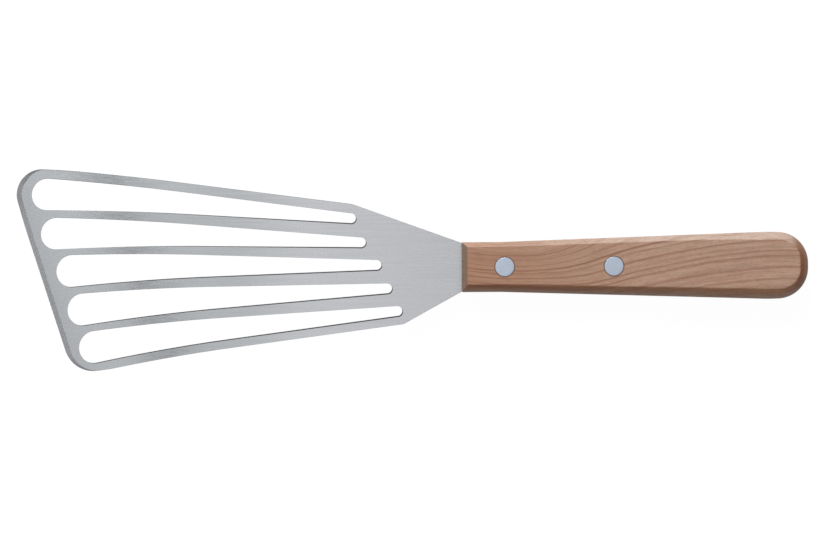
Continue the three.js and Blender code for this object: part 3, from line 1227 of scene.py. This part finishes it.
@dataclass
class Handle:
    """The wooden handle: bevelled all round, sawn for the tang and bored for the rivets."""

    front: Vector
    length: float
    thickness: float
    rivet_places: list[float]
    front_half_width: float = 10.3 * MM
    straight_length: float = 16.0 * MM
    swell_half_width: float = 13.85 * MM
    swell_setback: float = 16.6 * MM
    swell_radius: float = 60.0 * MM
    tail_half_width: float = 13.4 * MM
    end_corner_radius: float = 12.7 * MM
    face_corner_radius: float = 8.0 * MM
    front_corner_radius: float = 0.5 * MM
    bevel_depth: float = 3.2 * MM
    bevel_crown: float = 0.36 * MM
    crown_radius: float = 11.0 * MM
    front_bevel: float = 2.35 * MM
    end_bevel: float = 3.8 * MM
    waist: float = 98.0 * MM
    far_bevel: Triple = (1.95 * MM, 2.25 * MM, 3.3 * MM)
    near_bevel: Triple = (3.1 * MM, 4.0 * MM, 4.2 * MM)
    side_edge_radius: float = 1.2 * MM
    face_edge_radius: float = 1.0 * MM
    support: float = 0.15 * MM
    tang_tail: float = 10.0 * MM
    tang_end_gap: float = 1.5 * MM
    tang_inset: float = 0.15 * MM
    seat_gap: float = 0.1 * MM
    head_radius: float = 3.88 * MM
    head_thickness: float = 1.6 * MM
    tube_radius: float = 2.6 * MM
    overrun: float = 2.0 * MM
    corner_steps: int = 16
    edge_steps: int = 6
    round_sides: int = 96

    @property
    def tang_length(self) -> float:
        """How far the tang reaches behind the handle's front."""
        return self.rivet_places[-1] + self.tang_tail

    def on_axis(self, x: float) -> Vector:
        """The point of the handle's axis at a distance behind its front."""
        return self.front + Vector((x, 0.0, 0.0))

    def half_width(self, x: float) -> float:
        """Half the handle's width, up to the swell.

        Args:
            x: the distance behind the handle's front.

        Returns:
            The half width there.
        """
        swell = self.length - self.swell_setback
        share = clamp((x - self.straight_length) / (swell - self.straight_length))
        return lerp(self.front_half_width, self.swell_half_width, share)

    def tang_half_widths(self) -> list[Pair]:
        """Distances behind the front and the tang's half width there."""
        places = (0.0, self.straight_length, self.tang_length)
        return [(x, self.half_width(x) - self.tang_inset) for x in places]

    def side(self, sign: int, bevel: Triple, share: float) -> list[Corner]:
        """Corners of one side of a ring, from the front to the end.

        Args:
            sign: -1 on the near side, 1 on the far side.
            bevel: the bevel's width at the front, at the waist and at the tail.
            share: how much of the bevels the ring is drawn in by.

        Returns:
            The corners.
        """
        at_front, at_waist, at_tail = (width * share for width in bevel)
        front_half = self.front_half_width - at_front
        end_radius = lerp(self.end_corner_radius, self.face_corner_radius, share)
        corners = (
            (self.front_bevel * share, front_half, self.front_corner_radius),
            (self.straight_length, front_half, self.swell_radius),
            (self.waist, self.half_width(self.waist) - at_waist, self.swell_radius),
            (self.length - self.swell_setback, self.swell_half_width - at_tail, self.swell_radius),
            (self.length - self.end_bevel * share, self.tail_half_width - at_tail, end_radius),
        )
        return [Corner(Vector((x, sign * half)), radius) for x, half, radius in corners]

    def ring(self, share: float, height: float) -> Ring:
        """One level ring of the handle.

        Args:
            share: how much of the bevels the ring is drawn in by.
            height: height from the handle's middle plane.

        Returns:
            The ring's points in the frame.
        """
        far = self.side(1, self.far_bevel, share)
        loop = round_corners(self.side(-1, self.near_bevel, share) + far[::-1], self.corner_steps)
        return [self.front + Vector((*point, height)) for point in loop]

    def levels(self) -> Profile:
        """Draws the crowned bevels with their soft edges.

        Returns:
            Bevel shares and heights of the rings, from the underside to the top.
        """
        half = self.thickness / 2
        depth = self.bevel_depth
        outward = Vector((-1.0, 1.0)).normalized()
        middle = Vector((depth / 2, half - depth / 2)) + outward * self.bevel_crown
        path = round_corners([
            Corner(Vector((0.0, 0.0))),
            Corner(Vector((0.0, half - depth)), self.side_edge_radius),
            Corner(middle, self.crown_radius),
            Corner(Vector((depth, half)), self.face_edge_radius),
            Corner(Vector((depth + self.face_edge_radius + self.support, half))),
        ], self.edge_steps)[1:]
        upper = [(point.x / depth, point.y) for point in path]
        return mirrored(upper) + upper

    def sawn_slot(self) -> Piece:
        """Makes the cutter for the tang's slot in the handle's front.

        Returns:
            The cutter.
        """
        mesh = bmesh.new()
        bmesh.ops.create_cube(mesh, size=1.0)
        depth = self.tang_length + self.tang_end_gap
        size = Vector((
            depth + self.overrun,
            2 * (self.swell_half_width + self.overrun),
            SHEET_THICKNESS + 2 * self.seat_gap,
        ))
        centre = self.on_axis((depth - self.overrun) / 2)
        for vert in mesh.verts:
            vert.co = centre + vert.co * size
        return finished_object("sawn_slot", mesh)

    def bore(self, x: float) -> Piece:
        """Makes the cutter for a rivet's stepped bore.

        Args:
            x: its distance behind the handle's front.

        Returns:
            The cutter.
        """
        head = self.head_radius + self.seat_gap
        tube = self.tube_radius + self.seat_gap
        seat = self.thickness / 2 - self.head_thickness - self.seat_gap
        above = self.thickness / 2 + self.overrun
        upper = [(tube, seat), (head, seat), (head, above), (0.0, above)]
        return finished_object(
            "rivet_bore", lathe(mirrored(upper) + upper, self.round_sides, self.on_axis(x)))

    def build(self) -> Piece:
        """Builds the handle.

        Returns:
            The handle, with its sawn slot and its bores.
        """
        rings = [self.ring(share, height) for share, height in self.levels()]
        piece = finished_object("turner_handle", stack(rings))
        carve(piece, [self.sawn_slot(), *(self.bore(x) for x in self.rivet_places)])
        return piece

    def dress(self, piece: Piece) -> None:
        """Gives the handle its wood."""
        piece.data.materials.append(HandleWood(self).material("handle_wood"))
        set_down(piece, "handle_wood", "handle")


@dataclass
class Rivet:
    """One two-part cutlery rivet, with its flush heads a touch crowned."""

    name: str
    place: Vector
    handle: Handle
    pin_radius: float = 1.6 * MM
    blind_floor: float = 1.5 * MM
    crown: float = 0.03 * MM
    edge_radius: float = 0.06 * MM
    edge_steps: int = 5
    crown_steps: int = 6

    def head(self) -> Profile:
        """Draws a head, from its underside round its edge to its crown.

        Returns:
            Radius and height pairs.
        """
        half = self.handle.thickness / 2
        flat = self.handle.head_radius - self.edge_radius
        under = [(self.handle.head_radius, half - self.handle.head_thickness)]
        edge = [
            (flat + self.edge_radius * math.cos(a), half - self.edge_radius * (1 - math.sin(a)))
            for a in quarter_turn(self.edge_steps)
        ]
        shares = [1 - k / self.crown_steps for k in range(1, self.crown_steps + 1)]
        crown = [(flat * share, half + self.crown * (1 - share ** 2)) for share in shares]
        return under + edge + crown

    def profile(self, half: RivetHalf) -> Profile:
        """Draws one half of the rivet.

        Args:
            half: which half.

        Returns:
            Radius and height pairs that start and end on the axis.
        """
        gap = self.handle.seat_gap
        under_head = self.handle.thickness / 2 - self.handle.head_thickness
        floor = self.blind_floor - under_head
        if half is RivetHalf.PIN:
            pin = [(0.0, floor + gap), (self.pin_radius, floor + gap), (self.pin_radius, under_head)]
            return pin + self.head()
        bore = self.pin_radius + gap
        tube = [
            (self.handle.tube_radius, -under_head),
            (self.handle.tube_radius, under_head - gap),
            (bore, under_head - gap),
            (bore, floor),
            (0.0, floor),
        ]
        return mirrored(self.head()) + tube

    def build(self, half: RivetHalf) -> Piece:
        """Builds one half of the rivet."""
        mesh = lathe(self.profile(half), self.handle.round_sides, self.place)
        return finished_object(f"turner_{self.name}_{half.value}", mesh)

    def dress(self, piece: Piece, half: RivetHalf, finish: Material) -> None:
        """Gives one half its finish."""
        piece.data.materials.append(finish)
        set_down(piece, "rivet_aluminium", f"{self.name}_{half.value}")


@dataclass(frozen=True)
class Softbox:
    """A soft lamp of even brightness."""

    name: str
    size: Pair
    radiance: float

    def build(self, place: Vector, aim: Vector, turn: float = 0.0) -> None:
        """Hangs the lamp.

        Args:
            place: the middle of its face.
            aim: the point that it faces.
            turn: its turn about the line to that point.
        """
        data = bpy.data.lights.new(self.name, "AREA")
        data.shape = "RECTANGLE"
        data.size, data.size_y = self.size
        data.energy = self.radiance * math.pi * self.size[0] * self.size[1]
        lamp = bpy.data.objects.new(self.name, data)
        lamp.location = place
        facing = (aim - place).to_track_quat("-Z", "Y").to_matrix()
        lamp.rotation_euler = (facing @ Matrix.Rotation(turn, 3, "Z")).to_euler()
        lamp.visible_camera = False
        bpy.context.scene.collection.objects.link(lamp)


@dataclass
class Studio:
    """A white floor, soft lamps and a camera straight above.

    The camera, the key and the panels' seam are placed from the subject, the middle of the handle's front.
    """

    underside: float
    subject: Vector
    floor_gap: float = 0.2 * MM
    floor_size: float = 60.0
    floor_white: float = 0.56
    floor_glow: float = 0.92
    floor_strength: float = 1.06
    horizon: float = 1.0
    horizon_reach: Pair = (0.0, 0.08)
    ambient: float = 0.06
    wall: float = 0.34
    wall_reach: Pair = (0.36, 0.66)
    camera_nadir: Pair = (-18.66 * MM, -4.13 * MM)
    camera_height: float = 1.0
    camera_roll: float = -0.0063
    lens: float = 104.39
    key: Softbox = Softbox("key", (1.2, 0.8), 7.9)
    key_distance: float = 1.4
    key_elevation: float = math.radians(42.0)
    key_azimuth: float = math.radians(112.0)
    rim: Softbox = Softbox("rim", (2.6, 0.3), 2.2)
    rim_place: Triple = (0.0, 1.5, 0.22)
    left_panel: Softbox = Softbox("left_panel", (1.3, 1.4), 0.68)
    right_panel: Softbox = Softbox("right_panel", (0.9, 1.4), 0.74)
    panel_height: float = 1.7
    panel_seam: Pair = (0.192, 0.103)
    panel_gap: float = 0.14

    def build(self) -> None:
        """Builds the floor, the lamps, the world and the camera."""
        self.build_floor()
        self.build_world()
        self.build_lamps()
        self.build_camera()
        bpy.context.scene.view_settings.view_transform = "Standard"

    def build_lamps(self) -> None:
        """Hangs the key and a low rim lamp on the far side, and two panels overhead.

        The panels are turned with the blade's front edge, and have a gap between them.
        """
        level = math.cos(self.key_elevation)
        toward = Vector((*(polar(self.key_azimuth) * level), math.sin(self.key_elevation)))
        self.key.build(self.subject + toward * self.key_distance, self.subject)
        self.rim.build(Vector(self.rim_place), self.subject)
        across = polar(FRONT_SKEW)
        seam = self.subject.xy + Vector(self.panel_seam)
        for panel, sign in ((self.left_panel, -1), (self.right_panel, 1)):
            middle = seam + across * (sign * (panel.size[0] + self.panel_gap) / 2)
            place = Vector((*middle, self.panel_height))
            panel.build(place, place - Vector((0.0, 0.0, 1.0)), FRONT_SKEW)

    def build_floor(self) -> None:
        """Lays the floor: white to the eye and in reflections, and a little darker in shadow."""
        mesh = bmesh.new()
        bmesh.ops.create_grid(mesh, x_segments=1, y_segments=1, size=self.floor_size / 2)
        floor = finished_object("floor", mesh)
        floor.location.z = self.underside - self.floor_gap
        material, graph = new_graph("floor_paper")
        path = graph.add("LightPath").outputs
        seen = graph.math("MAXIMUM", path["Is Camera Ray"], path["Is Glossy Ray"])
        seen = graph.math("MAXIMUM", seen, path["Is Transmission Ray"])
        white = (self.floor_white, self.floor_white, self.floor_white, 1.0)
        paper = graph.add("BsdfDiffuse", {"Color": white})
        glow = graph.add("Emission", {"Strength": self.floor_strength})
        share = graph.math("MULTIPLY", seen, self.floor_glow)
        graph.surface(graph.add("MixShader", {0: share, 1: paper.outputs[0], 2: glow.outputs[0]}))
        floor.data.materials.append(material)

    def build_world(self) -> None:
        """Makes a soft grey sky, white at the horizon, with grey walls that only reflections see."""
        world = bpy.data.worlds.new("studio")
        bpy.context.scene.world = world
        world.use_nodes = True
        graph = Graph(world.node_tree)
        up = graph.parts(graph.add("TexCoord").outputs["Generated"])[2]
        wall = graph.span(up, self.wall_reach, (self.wall, 0.0), smooth=True)
        wall = graph.math("MULTIPLY", wall, graph.add("LightPath").outputs["Is Glossy Ray"])
        above = graph.math("ADD", wall, self.ambient)
        strength = graph.span(up, self.horizon_reach, (self.horizon, above), smooth=True)
        sky = graph.add("Background", {"Strength": strength})
        graph.add("OutputWorld", {"Surface": sky.outputs[0]})

    def build_camera(self) -> None:
        """Hangs the camera straight above the part."""
        data = bpy.data.cameras.new("camera")
        data.lens = self.lens
        data.clip_end = 2 * self.floor_size
        camera = bpy.data.objects.new("camera", data)
        camera.location = self.subject + Vector((*self.camera_nadir, self.camera_height))
        camera.rotation_euler.z = self.camera_roll
        bpy.context.scene.collection.objects.link(camera)
        bpy.context.scene.camera = camera


def main() -> None:
    """Builds and dresses the turner, then its studio."""
    logging.basicConfig(level=logging.INFO, format="%(message)s")
    low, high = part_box("handle")
    rivet_names = ("front_rivet", "rear_rivet")
    rivet_centres = [sum(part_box(f"{name}_pin"), Vector()) / 2 for name in rivet_names]
    front = Vector((low.x, rivet_centres[0].y, (low.z + high.z) / 2))
    rivet_places = [centre.x - front.x for centre in rivet_centres]
    handle = Handle(front, high.x - low.x, high.z - low.z, rivet_places)
    handle.dress(handle.build())
    blade = Blade(front, rivet_places, handle.tang_half_widths())
    blade.dress(blade.build())
    satin = SatinAluminium().material("rivet_aluminium")
    for name, x in zip(rivet_names, rivet_places):
        rivet = Rivet(name, handle.on_axis(x), handle)
        for half in RivetHalf:
            rivet.dress(rivet.build(half), half, satin)
    Studio(low.z, front).build()


if __name__ == "__main__":
    main()
